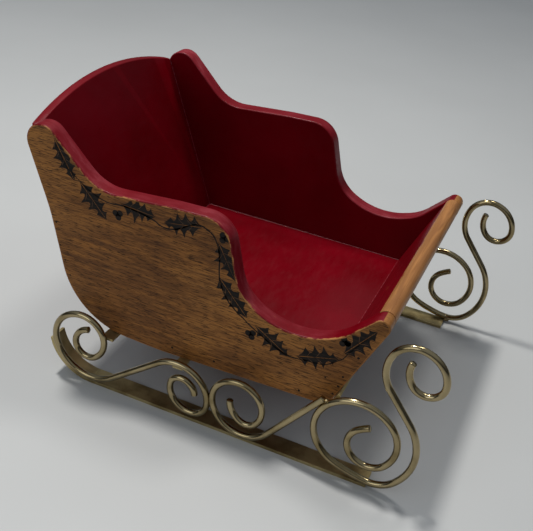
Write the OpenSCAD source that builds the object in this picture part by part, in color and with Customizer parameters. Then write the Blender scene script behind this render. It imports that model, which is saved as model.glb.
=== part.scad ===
// Table-top model of a horse-drawn sleigh: a small wooden body on a pair of scrolled metal runners.
// X runs forward, Y to the sleigh's left, Z up. The origin lies on the floor under the middle of the model.

/* [Body] */
// Length of a side panel, from its back lobe to its front tip
body_len = 275; // [225:1:330]
// Width over the outer faces of the side panels
body_w = 212; // [170:1:260]
// Thickness of the side, floor and front boards
board_t = 12.5; // [9:0.5:16]
// Thickness of the back board
back_t = 6; // [5:0.5:12]

/* [Side panel outline] */
// Height of the back lobe above the underside
lobe_h = 154; // [145:1:190]
// Height of the armrest above the underside
arm_h = 122; // [100:1:135]
// Height of the lowest point of the front hollow above the underside
dip_h = 54; // [42:1:68]
// Height of the front tip above the underside
tip_h = 86; // [76:1:104]
// Height of the front bottom corner above the underside
toe_lift = 4; // [0:0.5:6]
// How far the rear edge bows in between the lobe and the heel
waist = 2.5; // [0.5:0.5:4]

/* [Inside boards] */
// Height of the floor board's underside above the underside of the side panels
floor_lift = 4.5; // [4:0.5:10]
// Lean of the back board from upright
back_lean = 20.5; // [15:0.5:24]
// Distance from the back lobe to the face of the back board, at the board's corners
back_inset = 1.5; // [0:0.5:8]
// Height of the back board's top corners above the underside of the side panels
back_corner_h = 146; // [134:1:150]
// Rise of the arched top of the back board above its corners
back_crown = 14; // [6:1:30]

/* [Runners] */
// Diameter of the bent round rod
rod_d = 5; // [4:0.25:6]
// Gap between the side panels and the rods
rod_clear = 8; // [4:0.5:14]
// Width of the flat runner bar
strip_w = 15; // [10:0.5:20]
// Thickness of the flat runner bar
strip_t = 2.5; // [1.5:0.25:4]
// How far the runner bar stands out past the middle of the rods
strip_out = 1; // [0:0.5:3]

/* [Cross straps] */
// Thickness of the cross straps
strap_t = 2; // [1:0.25:3]
// Width of the rear cross strap
rear_strap_w = 10; // [6:0.5:14]
// Width of the middle cross strap
middle_strap_w = 8; // [6:0.5:14]
// Width of the front cross strap
front_strap_w = 10; // [6:0.5:12]

/* [Hidden] */
$fn = 48;

wood = [0.42, 0.27, 0.15];
paint = [0.40, 0.02, 0.05];
metal = [0.56, 0.49, 0.33];

drawn_len = 275;                // the panel length that the curves below are drawn for
k = body_len / drawn_len;       // the curves grow with the body
chord_gap = 0.03;               // how far a drawn edge may lie from its true curve
far_away = 1000;                // longer than anything in the model
inner_w = body_w - 2 * board_t;
rod_r = rod_d / 2;
rod_y = body_w / 2 + rod_clear + rod_r;

// ---- outlines made of rounds: [x, z, r], r > 0 bulges out, r < 0 is a hollow ----

// heading of the straight run that leaves round a and meets round b
function run(a, b) = let (d = [b[0] - a[0], b[1] - a[1]])
    atan2(d[1], d[0]) - asin((b[2] - a[2]) / norm(d));
// point on round c where the outline has heading h
function on_round(c, h) = [c[0] + c[2] * sin(h), c[1] - c[2] * cos(h)];
function wrap(a) = a - 360 * floor(a / 360);
function turn(r, h0, h1) = r > 0 ? wrap(h1 - h0) : -wrap(h0 - h1);
function arc_steps(r, a) = max(1, ceil(abs(a) / (2 * acos(1 - chord_gap / abs(r)))));
function outline(rounds) = let (n = len(rounds)) [
    for (i = [0 : n - 1])
        let (c = rounds[i],
             h0 = run(rounds[(i + n - 1) % n], c),
             a = turn(c[2], h0, run(c, rounds[(i + 1) % n])),
             m = arc_steps(c[2], a))
        for (j = [0 : m]) on_round(c, h0 + a * j / m)
];

tip_r = board_t / 2;            // the tip is as round as the front board's top edge
lobe_r = 13.5 * k;
toe_r = 14 * k;
heel_r = 57.5 * k;
belly_r = 295 * k;
waist_r = 150 * k;
toe = [233 * k, toe_lift + toe_r, toe_r];
tip = [body_len - tip_r, tip_h - tip_r, tip_r];
hollow_front = [220 * k, dip_h + 42 * k, -40 * k];
hollow_low = [211.5 * k, dip_h + 56.5 * k, -56.5 * k];
hollow_foot = [200.5 * k, dip_h + 38 * k, -35 * k];
arm_front = [140 * k, arm_h - 21.5 * k, 21.5 * k];
arm_middle = [120 * k, arm_h - 66.2 * k, 65.4 * k];
arm_back = [70 * k, arm_h + 29.3 * k, -34 * k];
lobe = [lobe_r, lobe_h - lobe_r, lobe_r];
heel = [83.5 * k, 1 + heel_r, heel_r];
belly = [111.5 * k, belly_r, belly_r];
rear_run = run(lobe, heel);
rear_middle = (on_round(lobe, rear_run) + on_round(heel, rear_run)) / 2;
rear_waist = let (c = rear_middle + (waist_r - waist) * [sin(rear_run), -cos(rear_run)])
    [c[0], c[1], -waist_r];
panel_rounds = [belly, toe, tip, hollow_front, hollow_low, hollow_foot,
                arm_front, arm_middle, arm_back, lobe, rear_waist, heel];

// height of the panel's underside: the round of the belly and the straight runs on either side of it
function underside(x) = let (h0 = run(heel, belly), h1 = run(belly, toe),
                             p0 = on_round(belly, h0), p1 = on_round(belly, h1))
    x < p0[0] ? p0[1] + (x - p0[0]) * tan(h0) :
    x > p1[0] ? p1[1] + (x - p1[0]) * tan(h1) : belly_r - sqrt(pow(belly_r, 2) - pow(x - belly[0], 2));
function lowest_over(x0, x1) = underside(min(max(belly[0], x0), x1));

// ---- bent rods: a start heading and a list of bends [radius, angle]; radius 0 is a straight ----

function grown(bends) = [for (b = bends) b[0] == 0 ? [0, b[1] * k] : [b[0] * k, b[1]]];
function side_of(h) = [-sin(h), cos(h)];
// each step of a walk is [point, heading, radius, angle]; the last one is only [point, heading]
function walk(p, h, bends, i = 0) = i == len(bends) ? [[p, h]] :
    let (r = bends[i][0], a = bends[i][1], s = sign(a),
         q = r == 0 ? p + a * [cos(h), sin(h)] : p + s * r * (side_of(h) - side_of(h + a)))
    concat([[p, h, r, a]], walk(q, r == 0 ? h : h + a, bends, i + 1));
function centre(step) = step[0] + sign(step[3]) * step[2] * side_of(step[1]);
function last(list) = list[len(list) - 1];
function passes(h, a, at) = let (lo = min(h, h + a), hi = max(h, h + a))
    at + 360 * floor((hi - at) / 360) >= lo;
// how far a walk reaches in the direction dir
function reach(path, dir) = max([
    for (s = path) s[0] * [cos(dir), sin(dir)],
    for (s = path) if (len(s) == 4 && s[2] > 0 && passes(s[1], s[3], dir + 90 * sign(s[3])))
        centre(s) * [cos(dir), sin(dir)] + s[2]
]);
function moved(path, v) = [for (s = path) len(s) == 4 ? [s[0] + v, s[1], s[2], s[3]] : [s[0] + v, s[1]]];

// the rod stands on the runner bar
rod_z = strip_t + rod_r;

// front scroll: lower curl, big loop, under-sweep, rise and upper curl
front_bends = grown([[45, 11], [16, 197], [27, 77], [30, 208], [90, 16], [22, 55], [42, 79], [0, 27],
                     [27, -63], [17.5, -81], [22, -74], [11.5, -141], [18, -60]]);
front_loop = 3;                 // the bend that is the big loop
loop_ahead = 35 * k;            // from the body's toe to the middle of the big loop
front_raw = walk([0, 0], 205, front_bends);
front_path = moved(front_raw, [toe[0] + loop_ahead - centre(front_raw[front_loop])[0],
                               rod_z + reach(front_raw, -90)]);

// middle scroll: curl, loop and a straight that rises to the front loop
middle_bends = grown([[18, 59], [10, 91], [19.5, 200], [25, 154], [0, 61]]);
middle_loop = 3;
middle_raw = walk([0, 0], 269, middle_bends);
middle_up = moved(middle_raw, [0, rod_z + reach(middle_raw, -90)]);
// its end rests against the front loop, one rod away
rise_h = last(middle_up)[1];
rise_end = last(middle_up)[0];
loop_c = centre(front_path[front_loop]);
loop_gap = front_path[front_loop][2] + rod_d;
rise_back = (rise_end[1] - loop_c[1] - loop_gap * cos(rise_h)) / sin(rise_h);
middle_path = moved(middle_up, [loop_c[0] - loop_gap * sin(rise_h) + rise_back * cos(rise_h) - rise_end[0], 0]);

// rear scroll: curl, ring, under-sweep, rise, hump and small loop with its curl
rear_bends = grown([[14.5, 85], [10.7, 120], [19, 157], [25, 87], [31, 118], [0, 49],
                    [25.5, -137], [12.5, -77], [17.5, -107], [9, -94], [12, -69]]);
ring_top = 2;                   // the bend over the top of the ring
ring_foot = 4;                  // the bend under it, which the runner bar follows
hump = 6;
rear_raw = walk([0, 0], 191, rear_bends);
rear_up = moved(rear_raw, [0, rod_z + rear_raw[ring_foot][2] - centre(rear_raw[ring_foot])[1]]);
// its hump rests against the middle loop, one rod away
touch_gap = rear_up[hump][2] + middle_path[middle_loop][2] + rod_d;
touch_rise = centre(middle_path[middle_loop])[1] - centre(rear_up[hump])[1];
rear_path = moved(rear_up, [centre(middle_path[middle_loop])[0] - centre(rear_up[hump])[0]
                            - sqrt(pow(touch_gap, 2) - pow(touch_rise, 2)), 0]);

// ---- cross straps ----
strap_l = 2 * (rod_y - rod_r);  // they butt against the rods' inner sides
middle_strap_x = centre(rear_path[hump])[0];
// the middle strap runs on under the humps of the rear scrolls, and the body rests on it
middle_strap_z = centre(rear_path[hump])[1]
    + sqrt(pow(rear_path[hump][2] - rod_r, 2) - pow(middle_strap_w / 2, 2));
body_z = middle_strap_z
    - lowest_over(middle_strap_x - middle_strap_w / 2, middle_strap_x + middle_strap_w / 2);
rear_strap_lap = 4;             // how far the rear strap runs on behind the side of the ring
rear_strap_x = centre(rear_path[ring_top])[0] + rear_path[ring_top][2] - rear_strap_lap;
rear_strap_z = body_z + lowest_over(rear_strap_x, rear_strap_x + rear_strap_w);

// ---- inside boards ----
floor_top = floor_lift + board_t;
front_run = run(toe, tip);
// the front strap lies on the front board where the big loops pass beside it
front_foot = on_round(toe, front_run) + [0, body_z] - side_of(front_run) * strap_t / 2;
front_to_loop = centre(front_path[front_loop]) - front_foot;
front_strap_up = front_to_loop * [cos(front_run), sin(front_run)]
    + sqrt(max(0, pow(front_path[front_loop][2], 2) - pow(front_to_loop * side_of(front_run), 2)));
function back_face(z) = back_inset - (z - back_corner_h) * tan(back_lean);

// ---- placing: everything above is drawn from the back lobe; the model is centred over the origin ----
back_top_h = back_corner_h + back_crown;
model_back = min(0, back_face(back_top_h) - back_t / cos(back_lean));
model_front = reach(front_path, 0) + rod_r;
centre_x = (model_back + model_front) / 2;

// draws a flat shape in the X-Z plane, w thick and centred on y
module upright(w, y = 0) {
    translate([-centre_x, y + w / 2, 0]) rotate([90, 0, 0]) linear_extrude(height = w) children();
}

module side_panel(side) {
    color(wood) upright(board_t, side * (body_w - board_t) / 2)
        translate([0, body_z]) polygon(outline(panel_rounds));
}

// the stretch within board_t of the panel's straight front edge
module front_band() {
    translate(on_round(tip, front_run)) rotate(front_run) translate([-far_away, 0])
        square([far_away + board_t, board_t]);
}

module floor_board() {
    color(paint) upright(inner_w) translate([0, body_z]) difference() {
        intersection() {
            polygon(outline(panel_rounds));
            translate([0, floor_lift]) square([body_len, board_t]);
        }
        translate(on_round(tip, front_run)) rotate(front_run) translate([-far_away, -far_away])
            square([2 * far_away, far_away + board_t]);
    }
}

module front_board() {
    color(paint) upright(inner_w) translate([0, body_z]) intersection() {
        polygon(outline(panel_rounds));
        front_band();
        translate([0, floor_lift]) square([body_len, tip_h]);
    }
}

// a leaning slab between the side panels, its top cut to an arch
module back_board() {
    half = inner_w / 2;
    arch_r = (pow(half, 2) + pow(back_crown, 2)) / (2 * back_crown);
    step = back_t / cos(back_lean);
    color(paint) intersection() {
        upright(inner_w) translate([0, body_z]) polygon([
            [back_face(floor_top), floor_top], [back_face(back_top_h), back_top_h],
            [back_face(back_top_h) - step, back_top_h], [back_face(floor_top) - step, floor_top]]);
        translate([-body_len, 0, body_z + back_top_h - arch_r]) rotate([0, 90, 0])
            cylinder(r = arch_r, h = body_len);
    }
}

// each bend stops just short of the next, inside a collar a hair thicker than the rod
collar_r = rod_r + 0.1;
collar_l = 1.2;
bend_stop = 0.3;

module rod(path, side) {
    n = len(path) - 1;
    color(metal) translate([-centre_x, side * rod_y, 0]) rotate([90, 0, 0]) union() {
        for (i = [0 : n - 1]) {
            s = path[i];
            start = i == 0 ? 0 : bend_stop;
            stop = i == n - 1 ? 0 : bend_stop;
            if (s[2] == 0)
                translate(s[0]) rotate([0, 0, s[1]]) rotate([0, 90, 0]) translate([0, 0, start])
                    cylinder(r = rod_r, h = s[3] - start - stop);
            else
                translate(centre(s)) rotate([0, 0, bend_from(s, start, stop)])
                    rotate_extrude(angle = abs(s[3]) - arc_angle(start + stop, s[2]))
                        translate([s[2], 0]) circle(r = rod_r);
            if (i > 0) translate(s[0]) rotate([0, 0, s[1]]) rotate([0, 90, 0])
                cylinder(r = collar_r, h = collar_l, center = true);
        }
    }
}

function arc_angle(l, r) = l / r * 180 / PI;
// where a bend's sweep starts, seen from its centre; a right-hand bend is swept from its far end
function bend_from(s, start, stop) = s[3] > 0 ? s[1] - 90 + arc_angle(start, s[2])
                                              : s[1] + 90 + s[3] + arc_angle(stop, s[2]);

// flat bar on the floor, with its rear end curled up round the foot of the ring
bar_ahead = 14 * k;             // how far the bar runs on ahead of the middle of the big loop
curl_clear = 0.1;               // film of weld metal between the curl and the rod

module runner_bar(side) {
    foot = rear_path[ring_foot];
    c = centre(foot);
    bar_front = centre(front_path[front_loop])[0] + bar_ahead;
    y = side * (rod_y + strip_out - strip_w / 2);
    color(metal) upright(strip_w, y) union() {
        translate([c[0], 0]) square([bar_front - c[0], strip_t]);
        translate(c) intersection() {
            difference() {
                circle(r = c[1], $fn = 96);
                circle(r = c[1] - strip_t + curl_clear, $fn = 96);
            }
            polygon([[0, 0], [0, -far_away], [-far_away, -far_away],
                     far_away * [sin(foot[1]), -cos(foot[1])]]);
        }
    }
}

module rear_cross_strap() {
    color(metal) translate([rear_strap_x - centre_x, -strap_l / 2, rear_strap_z - strap_t])
        cube([rear_strap_w, strap_l, strap_t]);
}

module middle_cross_strap() {
    color(metal) translate([middle_strap_x - centre_x - middle_strap_w / 2, -rod_y, middle_strap_z - strap_t])
        cube([middle_strap_w, 2 * rod_y, strap_t]);
}

module front_cross_strap() {
    color(metal) upright(strap_l) translate(front_foot) rotate(front_run)
        translate([front_strap_up - front_strap_w / 2, -strap_t / 2]) square([front_strap_w, strap_t]);
}

side_panel(1);  // side_panel_left
side_panel(-1);  // side_panel_right
back_board();
floor_board();
front_board();
runner_bar(1);  // runner_bar_left
runner_bar(-1);  // runner_bar_right
rod(front_path, 1);  // front_scroll_left
rod(front_path, -1);  // front_scroll_right
rod(middle_path, 1);  // middle_scroll_left
rod(middle_path, -1);  // middle_scroll_right
rod(rear_path, 1);  // rear_scroll_left
rod(rear_path, -1);  // rear_scroll_right
front_cross_strap();
middle_cross_strap();
rear_cross_strap();
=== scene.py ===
import bpy
import bmesh
import math
import random
from mathutils import Matrix, Vector, noise


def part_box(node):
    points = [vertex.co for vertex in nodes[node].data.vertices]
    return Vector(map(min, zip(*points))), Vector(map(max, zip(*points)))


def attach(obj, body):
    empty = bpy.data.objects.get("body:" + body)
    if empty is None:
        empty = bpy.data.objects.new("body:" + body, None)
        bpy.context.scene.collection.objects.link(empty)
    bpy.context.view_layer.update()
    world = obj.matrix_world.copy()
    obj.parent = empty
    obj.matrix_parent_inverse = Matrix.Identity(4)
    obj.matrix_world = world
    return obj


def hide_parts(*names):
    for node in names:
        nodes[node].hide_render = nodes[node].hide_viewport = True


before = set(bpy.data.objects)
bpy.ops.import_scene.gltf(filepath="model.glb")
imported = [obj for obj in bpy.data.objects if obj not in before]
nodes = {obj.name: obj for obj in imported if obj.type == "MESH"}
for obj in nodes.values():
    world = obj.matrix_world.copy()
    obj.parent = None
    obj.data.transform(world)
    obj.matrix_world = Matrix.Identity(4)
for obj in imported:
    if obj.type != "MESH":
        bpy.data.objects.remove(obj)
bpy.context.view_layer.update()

mm = 0.001
random.seed(12)
bothSides = ((1, "_left"), (-1, "_right"))
print("frame loaded:", len(nodes), "parts")


def newMaterial(name):
    mat = bpy.data.materials.new(name)
    mat.use_nodes = True
    tree = mat.node_tree
    tree.nodes.clear()
    out = tree.nodes.new("ShaderNodeOutputMaterial")
    shader = tree.nodes.new("ShaderNodeBsdfPrincipled")
    tree.links.new(shader.outputs[0], out.inputs[0])
    return mat, tree, shader


def plug(tree, value, socket):
    # a socket takes another node's output, or a plain value
    if isinstance(value, bpy.types.NodeSocket):
        tree.links.new(value, socket)
    else:
        socket.default_value = value


def calc(tree, kind, a, b):
    n = tree.nodes.new("ShaderNodeMath")
    n.operation = kind
    plug(tree, a, n.inputs[0])
    plug(tree, b, n.inputs[1])
    return n.outputs[0]


def mix(tree, share, a, b):
    n = tree.nodes.new("ShaderNodeMix")
    n.data_type = "RGBA"
    plug(tree, share, n.inputs[0])
    plug(tree, a, n.inputs[6])
    plug(tree, b, n.inputs[7])
    return n.outputs[2]


def ramp(tree, value, low, high, a=0.0, b=1.0):
    n = tree.nodes.new("ShaderNodeMapRange")
    n.interpolation_type = "SMOOTHSTEP"
    for i, v in enumerate((value, low, high, a, b)):
        plug(tree, v, n.inputs[i])
    return n.outputs[0]


def grainNoise(tree, stretch, detail=4.0, rough=0.55, warp=0.0, turn=(0, 0, 0)):
    # noise in the piece's own coordinates; stretch is in waves per metre along x, y and z
    spot = tree.nodes.new("ShaderNodeTexCoord")
    way = tree.nodes.new("ShaderNodeMapping")
    n = tree.nodes.new("ShaderNodeTexNoise")
    way.inputs["Scale"].default_value = stretch
    way.inputs["Rotation"].default_value = turn
    tree.links.new(spot.outputs["Object"], way.inputs[0])
    tree.links.new(way.outputs[0], n.inputs["Vector"])
    n.inputs["Scale"].default_value = 1.0
    n.inputs["Detail"].default_value = detail
    n.inputs["Roughness"].default_value = rough
    n.inputs["Distortion"].default_value = warp
    return n.outputs[0]


def wander(tree, value, cloud, amount):
    # moves a clean border back and forth
    return calc(tree, "ADD", value, calc(tree, "MULTIPLY", calc(tree, "SUBTRACT", cloud, 0.5), amount))


def bump(tree, shader, height, strength, distance):
    n = tree.nodes.new("ShaderNodeBump")
    n.inputs["Strength"].default_value = strength
    n.inputs["Distance"].default_value = distance
    tree.links.new(height, n.inputs["Height"])
    tree.links.new(n.outputs[0], shader.inputs["Normal"])


def axisOf(tree, vector, axis):
    n = tree.nodes.new("ShaderNodeSeparateXYZ")
    tree.links.new(vector, n.inputs[0])
    return n.outputs[axis]


def surfaceNormal(tree, axis):
    return axisOf(tree, tree.nodes.new("ShaderNodeNewGeometry").outputs["Normal"], axis)


def fieldNamed(tree, name):
    n = tree.nodes.new("ShaderNodeAttribute")
    n.attribute_name = name
    return n.outputs["Fac"]


stain = {
    "dark": (0.135, 0.050, 0.012, 1), "mid": (0.330, 0.132, 0.030, 1), "light": (0.50, 0.215, 0.052, 1),
    "pore": (0.0378, 0.0140, 0.00336, 1),
    "cloud": (9, 20, 16), "figure": (20, 210, 260), "lines": (38, 620, 760), "patch": (14, 40, 34),
    "pores": (150, 1700, 1700), "roughness": (0.42, 0.62), "specular": 0.18,
}


def woodColour(tree):
    cloud = grainNoise(tree, stain["cloud"], 3)
    figure = grainNoise(tree, stain["figure"], 6, 0.62, 1.4)
    lines = grainNoise(tree, stain["lines"], 4, 0.65, 0.6)
    pores = grainNoise(tree, stain["pores"], 2)
    patch = grainNoise(tree, stain["patch"], 4, 0.6, 0.8)
    base = mix(tree, ramp(tree, figure, 0.34, 0.68), stain["dark"], stain["mid"])
    base = mix(tree, ramp(tree, cloud, 0.40, 0.68, 0.0, 0.6), base, stain["light"])
    base = mix(tree, ramp(tree, lines, 0.46, 0.66, 0.0, 0.80), base, stain["dark"])
    # in patches the stain took deeper
    base = mix(tree, ramp(tree, patch, 0.50, 0.70, 0.0, 0.65), base, stain["dark"])
    base = mix(tree, ramp(tree, pores, 0.53, 0.63, 0.0, 0.9), base, stain["pore"])
    return base, figure, pores


def makeStainedWood():
    mat, tree, shader = newMaterial("stainedWood")
    base, figure, pores = woodColour(tree)
    tree.links.new(base, shader.inputs["Base Color"])
    tree.links.new(ramp(tree, figure, 0.2, 0.8, *stain["roughness"]), shader.inputs["Roughness"])
    shader.inputs["Specular IOR Level"].default_value = stain["specular"]
    height = calc(tree, "ADD", calc(tree, "MULTIPLY", figure, 0.5), calc(tree, "MULTIPLY", pores, -0.8))
    bump(tree, shader, height, 0.35, 0.3 * mm)
    return mat


# wornAndSheen is a paler red: small scuffs and the filler use it, and it is a painted sheen on the top rims
paint = {
    "deep": (0.120, 0.0002, 0.0030, 1), "bright": (0.165, 0.0004, 0.0052, 1), "wornAndSheen": (0.27, 0.040, 0.052, 1),
    "bare": (0.45, 0.200, 0.065, 1),
    "cloud": (14, 14, 14), "brush": (40, 300, 300), "scuff": (180, 60, 120), "scuffTurn": (0.4, 0.2, 0.9),
    "roughness": (0.27, 0.48), "specular": 0.16,
}


def paintColour(tree):
    cloud = grainNoise(tree, paint["cloud"], 3)
    brush = grainNoise(tree, paint["brush"], 3, 0.6, 0.4)
    scuff = grainNoise(tree, paint["scuff"], 5, 0.7, 0.0, paint["scuffTurn"])
    base = mix(tree, ramp(tree, cloud, 0.3, 0.72), paint["deep"], paint["bright"])
    base = mix(tree, ramp(tree, scuff, 0.70, 0.80, 0.0, 0.16), base, paint["wornAndSheen"])
    return base, cloud, brush, scuff


def finishPaint(tree, shader, base, brush, scuff):
    tree.links.new(base, shader.inputs["Base Color"])
    tree.links.new(ramp(tree, scuff, 0.3, 0.8, *paint["roughness"]), shader.inputs["Roughness"])
    shader.inputs["Specular IOR Level"].default_value = paint["specular"]
    bump(tree, shader, brush, 0.10, 0.2 * mm)


def makeRedPaint():
    mat, tree, shader = newMaterial("redPaint")
    base, cloud, brush, scuff = paintColour(tree)
    finishPaint(tree, shader, base, brush, scuff)
    return mat


# the wearAndSheen noise places both the chips along the arris and the patches of painted sheen
rim = {"wearAndSheen": (70, 260, 70), "arrisWear": 0.27, "bareShare": 0.45, "borderWander": 0.5}


def makeRimPaint():
    # painted along the top of a side panel, stained wood along its front, back and underside
    mat, tree, shader = newMaterial("rimPaint")
    base, cloud, brush, scuff = paintColour(tree)
    wearAndSheen = grainNoise(tree, rim["wearAndSheen"], 6, 0.7)
    # painted sheen: the top rim is lightened in patches towards a pale pink, standing in for light shining
    # off it
    sheenOnRim = mix(tree, ramp(tree, cloud, 0.35, 0.7), paint["bright"], paint["wornAndSheen"])
    base = mix(tree, ramp(tree, wearAndSheen, 0.42, 0.62, 0.25, 0.75), base, sheenOnRim)
    # the paint chips off along the outer arris
    atArris = calc(tree, "MULTIPLY", fieldNamed(tree, "arris"), rim["arrisWear"])
    chip = ramp(tree, calc(tree, "ADD", atArris, wearAndSheen), 0.70, 0.80)
    base = mix(tree, chip, base, paint["bare"])
    bareWood = mix(tree, rim["bareShare"], woodColour(tree)[0], paint["bare"])
    border = wander(tree, fieldNamed(tree, "painted"), wearAndSheen, rim["borderWander"])
    base = mix(tree, ramp(tree, border, 0.46, 0.54), bareWood, base)
    finishPaint(tree, shader, base, brush, scuff)
    return mat


nose = {"brown": (0.27, 0.115, 0.040, 1), "grain": (140, 9, 140), "lines": (420, 14, 420),
        "wobble": (60, 28, 60), "borderWander": 0.55, "border": (-0.80, -0.72)}


def makeFrontEdge():
    # the front board is painted inside and left bare over its rounded top and its front
    mat, tree, shader = newMaterial("frontEdge")
    red, cloud, brush, scuff = paintColour(tree)
    grain = grainNoise(tree, nose["grain"], 5, 0.6, 1.0)
    lines = grainNoise(tree, nose["lines"], 3, 0.6, 0.3)
    wood = mix(tree, ramp(tree, grain, 0.35, 0.7), nose["brown"], paint["bare"])
    wood = mix(tree, ramp(tree, lines, 0.52, 0.72, 0.0, 0.5), wood, stain["dark"])
    wobble = grainNoise(tree, nose["wobble"], 4, 0.6)
    facing = wander(tree, surfaceNormal(tree, 0), wobble, nose["borderWander"])
    base = mix(tree, ramp(tree, facing, *nose["border"]), red, wood)
    finishPaint(tree, shader, base, brush, scuff)
    return mat


burn = {"char": (0.0040, 0.0028, 0.0022, 1), "brown": (0.026, 0.014, 0.008, 1), "grain": (50, 500, 500),
        "vein": (0.012, 0.007, 0.004, 1), "veinShare": 0.35}


def makeBurn():
    mat, tree, shader = newMaterial("burnedLine")
    grain = grainNoise(tree, burn["grain"], 4, 0.6)
    base = mix(tree, ramp(tree, grain, 0.40, 0.74), burn["char"], burn["brown"])
    tree.links.new(base, shader.inputs["Base Color"])
    shader.inputs["Roughness"].default_value = 0.72
    shader.inputs["Specular IOR Level"].default_value = 0.25
    bump(tree, shader, grain, 0.4, 0.2 * mm)
    return mat


def makeVein():
    mat, tree, shader = newMaterial("leafVein")
    base, figure, pores = woodColour(tree)
    tree.links.new(mix(tree, burn["veinShare"], base, burn["vein"]), shader.inputs["Base Color"])
    shader.inputs["Roughness"].default_value = 0.6
    bump(tree, shader, pores, 0.2, 0.2 * mm)
    return mat


def makeFiller():
    mat, tree, shader = newMaterial("jointFiller")
    grain = grainNoise(tree, (300, 300, 300))
    base = mix(tree, ramp(tree, grain, 0.35, 0.7), paint["bright"], paint["wornAndSheen"])
    tree.links.new(base, shader.inputs["Base Color"])
    shader.inputs["Roughness"].default_value = 0.4
    bump(tree, shader, grain, 0.4, 0.3 * mm)
    return mat


# bright and dull colour, and roughness
brass = {
    "rod": ((0.38, 0.305, 0.17, 1), (0.23, 0.175, 0.085, 1), 0.14),
    "bar": ((0.52, 0.42, 0.21, 1), (0.28, 0.21, 0.09, 1), 0.48),
    "weld": ((0.33, 0.26, 0.14, 1), (0.10, 0.07, 0.035, 1), 0.45),
    "cloud": (55, 55, 55), "fine": (260, 260, 260), "roughnessSpread": 0.06,
}


def makeBrass(kind):
    bright, dull, roughness = brass[kind]
    mat, tree, shader = newMaterial(kind + "Brass")
    cloud = grainNoise(tree, brass["cloud"])
    fine = grainNoise(tree, brass["fine"], 3, 0.5)
    tree.links.new(mix(tree, ramp(tree, cloud, 0.38, 0.72), bright, dull), shader.inputs["Base Color"])
    rough = ramp(tree, fine, 0.25, 0.8, roughness, roughness + brass["roughnessSpread"])
    tree.links.new(rough, shader.inputs["Roughness"])
    shader.inputs["Metallic"].default_value = 1.0
    bump(tree, shader, fine, 0.05, 0.1 * mm)
    return mat


mats = {"wood": makeStainedWood(), "red": makeRedPaint(), "rim": makeRimPaint(), "front": makeFrontEdge(),
        "burn": makeBurn(), "vein": makeVein(), "filler": makeFiller(),
        "rod": makeBrass("rod"), "bar": makeBrass("bar"), "weld": makeBrass("weld")}
print("materials made:", len(mats))


def addPiece(name, bm, materials, smoothAngle=35):
    mesh = bpy.data.meshes.new(name)
    bm.to_mesh(mesh)
    bm.free()
    for m in materials:
        mesh.materials.append(m)
    mesh.shade_smooth()
    mesh.set_sharp_from_angle(angle=math.radians(smoothAngle))
    piece = bpy.data.objects.new(name, mesh)
    bpy.context.collection.objects.link(piece)
    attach(piece, "root")
    return piece


def capLoop(node, y):
    # the outline of a flat side of a CAD board, in order, as (x, z)
    mesh = nodes[node].data
    key = lambda i: (round(mesh.vertices[i].co.x, 6), round(mesh.vertices[i].co.z, 6))
    seen = {}
    for face in mesh.polygons:
        if all(abs(mesh.vertices[i].co.y - y) < 0.01 * mm for i in face.vertices):
            ids = [key(i) for i in face.vertices]
            for a, b in zip(ids, ids[1:] + ids[:1]):
                if (b, a) in seen:
                    del seen[(b, a)]
                else:
                    seen[(a, b)] = True
    after = {a: b for a, b in seen}
    loop = [next(iter(after))]
    while len(loop) < len(after):
        loop.append(after[loop[-1]])
    area = sum(a[0] * b[1] - b[0] * a[1] for a, b in zip(loop, loop[1:] + loop[:1]))
    return loop if area > 0 else loop[::-1]


def outward(loop, i):
    before, after = loop[i - 1], loop[(i + 1) % len(loop)]
    return Vector((after[1] - before[1], before[0] - after[0])).normalized()


rodEnd = ((0, 0.78), (0.18, 1.0))  # small chamfer: way along the rod and width, as shares of the radius


def tube(bm, points, radius, corners):
    # a round rod along a path, its ends cut square
    rings = []
    n = len(points)
    angles = [2 * math.pi * j / corners for j in range(corners)]
    for i, p in enumerate(points):
        ahead = (points[min(i + 1, n - 1)] - points[max(i - 1, 0)]).normalized()
        side = ahead.cross(Vector((0, 1, 0)))
        side = side.normalized() if side.length > 0.1 else Vector((1, 0, 0))
        up = side.cross(ahead).normalized()
        layers = ((0, 1.0),)
        if i == 0:
            layers = rodEnd
        if i == n - 1:
            layers = [(-d, share) for d, share in rodEnd[::-1]]
        for d, share in layers:
            middle = p + ahead * d * radius
            ring = [middle + (side * math.cos(a) + up * math.sin(a)) * radius * share for a in angles]
            rings.append([bm.verts.new(q) for q in ring])
    for a, b in zip(rings, rings[1:]):
        for j in range(corners):
            bm.faces.new((a[j], a[(j + 1) % corners], b[(j + 1) % corners], b[j]))
    bm.faces.new(rings[0][::-1])
    bm.faces.new(rings[-1])


panelLook = {
    "arris": 1.1 * mm, "arrisSteps": 3, "arrisWear": 1.6 * mm, "sharpAngle": 40,
    "paintedRise": 0.12,  # the rim is painted wherever it faces up at least this much
    "noseLength": 9 * mm, "noseSlope": 0.1,  # the front tip is bare wood
    "faces": {"outside": 0, "inside": 1, "rim": 2},
}


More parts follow.
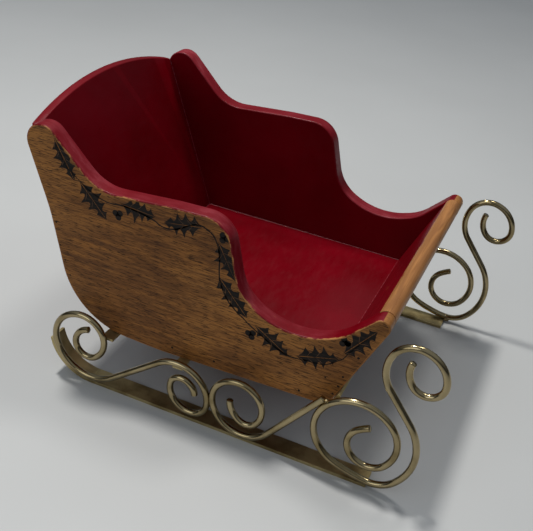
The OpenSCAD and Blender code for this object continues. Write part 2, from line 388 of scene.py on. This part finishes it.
def buildSidePanel(side, name):
    low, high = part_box(name)
    outer, inner = (high.y, low.y) if side > 0 else (low.y, high.y)
    loop = capLoop(name, outer)
    slots = panelLook["faces"]
    bm = bmesh.new()
    outerVerts = [bm.verts.new((x, outer, z)) for x, z in loop]
    innerVerts = [bm.verts.new((x, inner, z)) for x, z in loop]
    bm.faces.new(outerVerts).material_index = slots["outside"]
    bm.faces.new(innerVerts[::-1]).material_index = slots["inside"]
    n = len(loop)
    for i in range(n):
        j = (i + 1) % n
        edge = bm.faces.new((outerVerts[j], outerVerts[i], innerVerts[i], innerVerts[j]))
        edge.material_index = slots["rim"]
    bmesh.ops.recalc_face_normals(bm, faces=bm.faces)
    rims = [e for e in bm.edges if sum(f.material_index == slots["rim"] for f in e.link_faces) == 1]
    bmesh.ops.bevel(bm, geom=rims, offset=panelLook["arris"], offset_type="OFFSET",
                    segments=panelLook["arrisSteps"], profile=0.5, affect="EDGES", clamp_overlap=True,
                    material=slots["rim"])
    bm.normal_update()
    tipX = high.x - panelLook["noseLength"]
    painted = bm.verts.layers.float.new("painted")
    arris = bm.verts.layers.float.new("arris")
    rimWay = [outward(loop, i) for i in range(n)]
    for v in bm.verts:
        near = min(range(n), key=lambda i: (loop[i][0] - v.co.x) ** 2 + (loop[i][1] - v.co.z) ** 2)
        ahead, up = rimWay[near]
        onNose = v.co.x > tipX and ahead > panelLook["noseSlope"]
        v[painted] = 1.0 if up > panelLook["paintedRise"] and not onNose else 0.0
        v[arris] = max(0.0, 1 - abs(v.co.y - outer) / panelLook["arrisWear"])
    finishes = (mats["wood"], mats["red"], mats["rim"])
    piece = addPiece(name + "_board", bm, finishes, panelLook["sharpAngle"])
    weighted = piece.modifiers.new("weightedNormal", "WEIGHTED_NORMAL")
    weighted.keep_sharp = True
    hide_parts(name)
    return loop, outer


panels = {}
for side, suffix in bothSides:
    panels[side] = buildSidePanel(side, "side_panel" + suffix)
print("side panels built")


# the inside boards and the flat metal keep their CAD shape, with softened edges
softEdges = {
    "back_board": (0.9 * mm, "red"), "floor_board": (0.3 * mm, "red"), "front_board": (0.5 * mm, "front"),
    "runner_bar_left": (0.35 * mm, "bar"), "runner_bar_right": (0.35 * mm, "bar"),
    "front_cross_strap": (0.3 * mm, "bar"), "middle_cross_strap": (0.3 * mm, "bar"),
    "rear_cross_strap": (0.3 * mm, "bar"),
}
softLook = {"steps": 3, "sharpAngle": 40, "weldGap": 0.01 * mm}


def soften(name, width, material):
    piece = nodes[name]
    piece.data.materials.clear()
    piece.data.materials.append(material)
    weld = piece.modifiers.new("weld", "WELD")
    weld.merge_threshold = softLook["weldGap"]
    bevel = piece.modifiers.new("soften", "BEVEL")
    bevel.width = width
    bevel.segments = softLook["steps"]
    bevel.limit_method = "ANGLE"
    bevel.angle_limit = math.radians(softLook["sharpAngle"])
    bevel.harden_normals = True


for name, (width, finish) in softEdges.items():
    soften(name, width, mats[finish])
print("edges softened:", len(softEdges))

# each rod is a start heading, then bends as (radius in mm, angle); radius 0 is a straight of that length
scrolls = {
    "front_scroll": (205, ((45, 11), (16, 197), (27, 77), (30, 208), (90, 16), (22, 55), (42, 79), (0, 27),
                           (27, -63), (17.5, -81), (22, -74), (11.5, -141), (18, -60))),
    "middle_scroll": (269, ((18, 59), (10, 91), (19.5, 200), (25, 154), (0, 61))),
    "rear_scroll": (191, ((14.5, 85), (10.7, 120), (19, 157), (25, 87), (31, 118), (0, 49),
                          (25.5, -137), (12.5, -77), (17.5, -107), (9, -94), (12, -69))),
}
rodLook = {"radius": 2.5 * mm, "stepLength": 1.4 * mm, "straightSteps": 6, "corners": 20, "sharpAngle": 50}


def bendPath(heading, bends):
    at, h = Vector((0, 0)), math.radians(heading)
    points = [at.copy()]
    for radius, amount in bends:
        if radius == 0:
            count = rodLook["straightSteps"]
            for i in range(count):
                at = at + Vector((math.cos(h), math.sin(h))) * amount * mm / count
                points.append(at.copy())
            continue
        turn = math.radians(amount)
        length = abs(turn) * radius * mm
        count = max(3, round(length / rodLook["stepLength"]))
        for i in range(count):
            h += turn / count / 2
            chord = 2 * radius * mm * math.sin(abs(turn) / count / 2)
            at = at + Vector((math.cos(h), math.sin(h))) * chord
            h += turn / count / 2
            points.append(at.copy())
    return points


rodPaths = {}
for kind, (heading, bends) in scrolls.items():
    flat = bendPath(heading, bends)
    for side, suffix in bothSides:
        low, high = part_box(kind + suffix)
        shift = Vector((high.x - rodLook["radius"] - max(p.x for p in flat),
                        high.z - rodLook["radius"] - max(p.y for p in flat)))
        y = (low.y + high.y) / 2
        path = [Vector((p.x + shift.x, y, p.y + shift.y)) for p in flat]
        bm = bmesh.new()
        tube(bm, path, rodLook["radius"], rodLook["corners"])
        piece = addPiece(kind + suffix + "_rod", bm, (mats["rod"],), rodLook["sharpAngle"])
        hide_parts(kind + suffix)
        rodPaths[kind, side] = path
print("rods bent:", len(rodPaths))


# burned leaf pattern; places are (forward, up) in mm from the panel's rear end and underside
holly = {
    "stem": ((24, 143), (32, 129), (43, 120), (53, 114), (66, 110), (80, 111), (100, 108), (110, 104),
             (120, 106), (134, 114), (144, 112), (150, 105), (153, 96), (154, 80), (158, 68), (168, 57),
             (180, 49), (196, 40), (210, 35), (222, 36), (236, 38), (247, 47), (254, 58), (262, 70)),
    # each leaf is its foot, its tip and its width
    "leaves": (((23, 147), (39, 119), 15), ((43, 120), (65, 96), 17), ((76, 112), (103, 110), 18),
               ((139, 113), (110, 108), 17), ((151, 106), (166, 80), 16), ((153, 80), (177, 54), 16),
               ((183, 51), (210, 34), 16), ((215, 37), (245, 46), 18), ((247, 51), (267, 77), 16)),
    "berries": ((74, 103), (155, 110), (181, 42), (247, 61)), "berryRadius": 2.4, "berrySpread": 2.1,
    "berryCorners": 14,
    "margin": 1.6, "lift": 0.05, "veinLift": 0.03,
    "stemWidth": 1.05, "stemWander": 0.6, "wanderPerMm": 0.2,
}
leaf = {
    # each spine is its place along the leaf and its reach, as shares of the length and of the widest reach
    "spines": ((0.17, 0.72), (0.38, 1.0), (0.59, 0.86), (0.78, 0.50)), "valley": -0.24,
    "placeSpread": 0.025, "stagger": 0.03, "reachSpread": (0.92, 1.08), "reachShare": 0.58,
    "spineLean": 0.07, "valleyBack": 0.03, "footValley": 0.8, "tipBend": (0.88, 0.12), "midrib": 0.55,
    "veinWidth": 0.3, "veinReach": 0.34, "veinBack": 0.1, "veinAhead": 0.03, "veinBow": 0.3,
    "veinThinEnd": 0.3,
}
pen = {"thinEnd": 0.4, "taperRun": 5, "widthSpread": (0.8, 1.2)}  # shares of a stroke's width and length
finishSlots = {"burned": 0, "vein": 1}


class panelDrawing:
    # collects flat shapes drawn on the outside of a panel
    def __init__(self, origin, side, lift):
        self.bm = bmesh.new()
        self.loop, outer = panels[side]
        self.origin, self.y, self.side = origin, outer + side * lift * mm, side
        self.ways = [outward(self.loop, i) for i in range(len(self.loop))]

    def keepIn(self, x, z):
        # a point too near the edge of the panel is drawn back from it
        here = Vector((self.origin.x + x * mm, self.origin.z + z * mm))
        near = min(range(len(self.loop)), key=lambda i: (Vector(self.loop[i]) - here).length_squared)
        way = self.ways[near]
        over = (here - Vector(self.loop[near])).dot(way) + holly["margin"] * mm
        return here - way * over if over > 0 else here

    def shape(self, points, finish="burned"):
        spots = [self.keepIn(x, z) for x, z in points]
        face = self.bm.faces.new([self.bm.verts.new((q.x, self.y, q.y)) for q in spots])
        face.normal_update()
        if face.normal.y * self.side < 0:
            face.normal_flip()
        face.material_index = finishSlots[finish]

    def stroke(self, points, width, finish="burned", thinEnd=pen["thinEnd"]):
        # a hand-drawn line: thin at both ends, uneven along its length
        pts = [Vector(p) for p in points]
        n = len(pts)
        left, right = [], []
        for i, q in enumerate(pts):
            ahead = (pts[min(i + 1, n - 1)] - pts[max(i - 1, 0)]).normalized()
            across = Vector((-ahead.y, ahead.x))
            t = i / (n - 1)
            full = min(1, pen["taperRun"] * t, pen["taperRun"] * (1 - t))
            half = width / 2 * (thinEnd + (1 - thinEnd) * full) * random.uniform(*pen["widthSpread"])
            left.append(q + across * half)
            right.append(q - across * half)
        for i in range(n - 1):
            self.shape((left[i], right[i], right[i + 1], left[i + 1]), finish)


def smoothLine(points, steps=6):
    # Catmull-Rom through the points
    pts = [Vector(p) for p in points]
    pts = [pts[0] * 2 - pts[1]] + pts + [pts[-1] * 2 - pts[-2]]
    line = []
    for a, b, c, d in zip(pts, pts[1:], pts[2:], pts[3:]):
        for i in range(steps):
            t = i / steps
            line.append(((b * 2) + (c - a) * t + (a * 2 - b * 5 + c * 4 - d) * t * t
                         + (b * 3 - a - c * 3 + d) * t ** 3) * 0.5)
    return line + [pts[-2]]


def curveTo(a, bend, b, steps=5):
    shares = [i / steps for i in range(1, steps + 1)]
    return [a * (1 - t) ** 2 + bend * 2 * t * (1 - t) + b * t * t for t in shares]


def circle(centre, radius, corners):
    angles = [2 * math.pi * i / corners for i in range(corners)]
    return [(centre[0] + radius * math.cos(a), centre[1] + radius * math.sin(a)) for a in angles]


def drawLeaf(drawing, foot, tip, width):
    foot, tip = Vector(foot), Vector(tip)
    along = tip - foot
    length = along.length
    along.normalize()
    across = Vector((-along.y, along.x))
    at = lambda t, w: foot + along * t * length + across * w
    for s in (1, -1):
        edge = [at(0, s * leaf["midrib"] / 2)]
        last = edge[0]
        for i, (t, reach) in enumerate(leaf["spines"]):
            t += random.uniform(-leaf["placeSpread"], leaf["placeSpread"]) + s * leaf["stagger"]
            reach *= width * leaf["reachShare"] * random.uniform(*leaf["reachSpread"])
            spine = at(t + leaf["spineLean"], s * reach)
            low = leaf["valley"] * width / 2 if i else leaf["footValley"] * leaf["midrib"]
            edge += curveTo(last, at(t - leaf["valleyBack"], s * low), spine)
            last = spine
        t, w = leaf["tipBend"]
        edge += curveTo(last, at(t, s * w * width), at(1.0, s * leaf["midrib"] / 4))
        drawing.shape(edge)
        for t, reach in leaf["spines"][:-1]:
            start = at(t - leaf["veinBack"], s * leaf["midrib"])
            stop = at(t + leaf["veinAhead"], s * reach * width * leaf["veinReach"])
            middle = (start + stop) / 2 + along * leaf["veinBow"]
            drawing.stroke([start, middle, stop], leaf["veinWidth"], "vein", leaf["veinThinEnd"])


def drawHolly(side, suffix):
    drawing = panelDrawing(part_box("side_panel" + suffix)[0], side, holly["lift"])
    stem = []
    for q in smoothLine(holly["stem"]):
        x, z = q * holly["wanderPerMm"]
        stem.append(q + Vector((noise.noise((x, 0, 1)), noise.noise((z, 3, 1)))) * holly["stemWander"])
    drawing.stroke(stem, holly["stemWidth"])
    for foot, tip, width in holly["leaves"]:
        drawLeaf(drawing, foot, tip, width)
    for x, z in holly["berries"]:
        for i in range(3):
            a = 2 * math.pi * i / 3 + x
            spot = (x + holly["berrySpread"] * math.cos(a), z + holly["berrySpread"] * math.sin(a))
            drawing.shape(circle(spot, holly["berryRadius"], holly["berryCorners"]))
    for face in drawing.bm.faces:
        if face.material_index == finishSlots["vein"]:
            for v in face.verts:
                v.co.y += side * holly["veinLift"] * mm
    addPiece("holly_burn" + suffix, drawing.bm, (mats["burn"], mats["vein"]))


for side, suffix in bothSides:
    drawHolly(side, suffix)
print("leaf pattern drawn")

# nail heads; places are (forward, up) in mm from the panel's rear end and underside
nails = {
    "spots": ((22.6, 81.3), (25.5, 63.1), (29.5, 51.6), (33.6, 39.9), (75, 8), (121, 7), (155, 8), (221, 9),
              (258, 52), (250, 33), (248, 24), (245, 16.5), (238, 28)),
    "radius": 0.95, "sizeSpread": (0.7, 1.15), "edgeSpread": (0.8, 1.15), "corners": 10, "lift": 0.06,
}


def drawNails(side, suffix):
    drawing = panelDrawing(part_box("side_panel" + suffix)[0], side, nails["lift"])
    for x, z in nails["spots"]:
        size = nails["radius"] * random.uniform(*nails["sizeSpread"])
        ragged = []
        for dx, dz in circle((0, 0), size, nails["corners"]):
            across = dx * random.uniform(*nails["edgeSpread"])
            ragged.append((x + across, z + dz * random.uniform(*nails["edgeSpread"])))
        drawing.shape(ragged)
    addPiece("nail_heads" + suffix, drawing.bm, (mats["burn"],))


for side, suffix in bothSides:
    drawNails(side, suffix)

# thin beads of filler where the red boards meet; lean is the back board's, in degrees
beads = {"radius": 0.42 * mm, "corners": 8, "lean": 20.5, "belowLobe": 9 * mm, "step": 6 * mm,
         "wander": 0.12 * mm, "waviness": 90}


def addBeads():
    bm = bmesh.new()
    floorLow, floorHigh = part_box("floor_board")
    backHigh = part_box("back_board")[1]
    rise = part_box("side_panel_left")[1].z - beads["belowLobe"] - floorHigh.z
    backFoot = Vector((backHigh.x, 0, floorHigh.z))
    backTop = backFoot + Vector((-rise * math.tan(math.radians(beads["lean"])), 0, rise))
    frontFoot = Vector((floorHigh.x, 0, floorHigh.z))
    lines = []
    for y in (floorLow.y, floorHigh.y):
        side = Vector((0, y, 0))
        lines += [(backFoot + side, backTop + side), (backFoot + side, frontFoot + side)]
    for foot in (frontFoot, backFoot):
        lines.append((foot + Vector((0, floorLow.y, 0)), foot + Vector((0, floorHigh.y, 0))))
    for a, b in lines:
        count = max(4, round((b - a).length / beads["step"]))
        path = [a.lerp(b, i / count) for i in range(count + 1)]
        path = [q + noise.noise_vector(q * beads["waviness"]) * beads["wander"] for q in path]
        tube(bm, path, beads["radius"], beads["corners"])
    addPiece("joint_beads", bm, (mats["filler"],))


addBeads()

# sizes are (forward, across, up); the shares shrink a weld where less metal was laid
welds = {
    "size": (2.5 * mm, 2.1 * mm, 1.5 * mm), "rough": 0.45, "lumps": 1.7, "detail": 3, "sharpAngle": 60,
    "onBar": {"inward": 1.6 * mm, "up": 0.5 * mm, "reach": 1.4},
    "rodToRod": {"share": 0.75, "inward": 0.6 * mm},
    "onStrap": {"share": 0.7, "inward": 2.4 * mm},
}


def addBlob(bm, centre, share, seed):
    made = bmesh.ops.create_icosphere(bm, subdivisions=welds["detail"], radius=1.0)["verts"]
    size = [share * k for k in welds["size"]]
    for v in made:
        swell = 1 + welds["rough"] * noise.noise(v.co * welds["lumps"] + Vector((seed, 0, seed * 2)))
        v.co = Vector((v.co.x * size[0], v.co.y * size[1], v.co.z * size[2])) * swell + centre


def addWelds(side, suffix):
    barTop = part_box("middle_scroll" + suffix)[0].z
    paths = {kind: rodPaths[kind, side] for kind in scrolls}
    spots = []
    # where each rod comes down on the bar
    look = welds["onBar"]
    for path in paths.values():
        for before, here, after in zip(path, path[1:], path[2:]):
            lowest = here.z <= before.z and here.z < after.z
            if lowest and here.z < barTop + look["reach"] * rodLook["radius"]:
                spots.append((Vector((here.x, here.y - side * look["inward"], barTop + look["up"])), 1.0))
    # where two scrolls touch
    look = welds["rodToRod"]
    for first, second in (("rear_scroll", "middle_scroll"), ("middle_scroll", "front_scroll")):
        pairs = ((p, q) for p in paths[first] for q in paths[second])
        a, b = min(pairs, key=lambda pair: (pair[0] - pair[1]).length)
        spots.append(((a + b) / 2 + Vector((0, -side * look["inward"], 0)), look["share"]))
    # where a strap meets its rod
    look = welds["onStrap"]
    for strap, kind in (("rear_cross_strap", "rear_scroll"), ("middle_cross_strap", "rear_scroll"),
                        ("front_cross_strap", "front_scroll")):
        low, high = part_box(strap)
        middle = (low + high) / 2
        near = min(paths[kind], key=lambda p: (p.x - middle.x) ** 2 + 4 * (p.z - middle.z) ** 2)
        spots.append((Vector((near.x, near.y - side * look["inward"], middle.z)), look["share"]))
    bm = bmesh.new()
    for seed, (centre, share) in enumerate(spots, 1):
        addBlob(bm, centre, share, seed)
    addPiece("weld_beads" + suffix, bm, (mats["weld"],), welds["sharpAngle"])


for side, suffix in bothSides:
    addWelds(side, suffix)
print("nails, beads and welds added")

# the lens, its place and its own right and down directions
view = {"place": (197.1 * mm, -554.5 * mm, 434.4 * mm), "right": (0.91119, 0.40018, 0.09789),
        "down": (0.28638, -0.44443, -0.84881), "lens": 58.0, "sensor": 36, "farthest": 30}


def addCamera():
    right, down = Vector(view["right"]).normalized(), Vector(view["down"]).normalized()
    back = -right.cross(down).normalized()
    down = right.cross(back).normalized()
    data = bpy.data.cameras.new("camera")
    data.lens = view["lens"]
    data.sensor_width = view["sensor"]
    data.clip_end = view["farthest"]
    camera = bpy.data.objects.new("camera", data)
    turn = Matrix((right, -down, back)).transposed().to_4x4()
    camera.matrix_world = Matrix.Translation(view["place"]) @ turn
    bpy.context.collection.objects.link(camera)
    bpy.context.scene.camera = camera


# lamps aim at the body; places in metres, power in watts
lamps = {
    "keyLight": {"from": (-0.46, 0.10, 1.35), "size": 0.14, "power": 12.5, "colour": (1.0, 0.985, 0.96)},
    "secondLight": {"from": (0.05, 0.42, 1.40), "size": 0.28, "power": 4, "colour": (1.0, 0.99, 0.97)},
    "frontFill": {"from": (-0.6, -1.5, 0.9), "size": 1.2, "power": 5, "colour": (0.94, 0.97, 1.0)},
}
lampAim = Vector((0, 0, 0.08))


def addLamp(name, look):
    data = bpy.data.lights.new(name, "AREA")
    data.shape = "DISK"
    data.size = look["size"]
    data.energy = look["power"]
    data.color = look["colour"]
    lamp = bpy.data.objects.new(name, data)
    lamp.location = look["from"]
    lamp.rotation_euler = (lampAim - lamp.location).to_track_quat("-Z", "Y").to_euler()
    bpy.context.collection.objects.link(lamp)


ground = {"halfWidth": 6, "pale": (0.56, 0.565, 0.555, 1), "grey": (0.48, 0.485, 0.475, 1),
          "cloud": (3, 3, 3), "roughness": 0.45}


def addFloor():
    bm = bmesh.new()
    bmesh.ops.create_grid(bm, x_segments=1, y_segments=1, size=ground["halfWidth"])
    mesh = bpy.data.meshes.new("floor")
    bm.to_mesh(mesh)
    bm.free()
    mat, tree, shader = newMaterial("paleFloor")
    cloud = grainNoise(tree, ground["cloud"], 3)
    tree.links.new(mix(tree, cloud, ground["grey"], ground["pale"]), shader.inputs["Base Color"])
    shader.inputs["Roughness"].default_value = ground["roughness"]
    mesh.materials.append(mat)
    floor = bpy.data.objects.new("floor", mesh)
    bpy.context.collection.objects.link(floor)


room = {"low": (0.09, 0.10, 0.12, 1), "high": (0.82, 0.90, 1.0, 1), "fade": (0.05, 0.75), "strength": 0.34}


def addRoom():
    # a soft glow, dark near the floor and pale overhead
    world = bpy.data.worlds.new("studio")
    bpy.context.scene.world = world
    world.use_nodes = True
    tree = world.node_tree
    way = tree.nodes.new("ShaderNodeTexCoord")
    height = axisOf(tree, way.outputs["Generated"], 2)
    shade = mix(tree, ramp(tree, height, *room["fade"]), room["low"], room["high"])
    backdrop = tree.nodes["Background"]
    tree.links.new(shade, backdrop.inputs[0])
    backdrop.inputs[1].default_value = room["strength"]


addCamera()
for name, look in lamps.items():
    addLamp(name, look)
addFloor()
addRoom()
bpy.context.scene.view_settings.view_transform = "Standard"
print("camera, light and floor set")
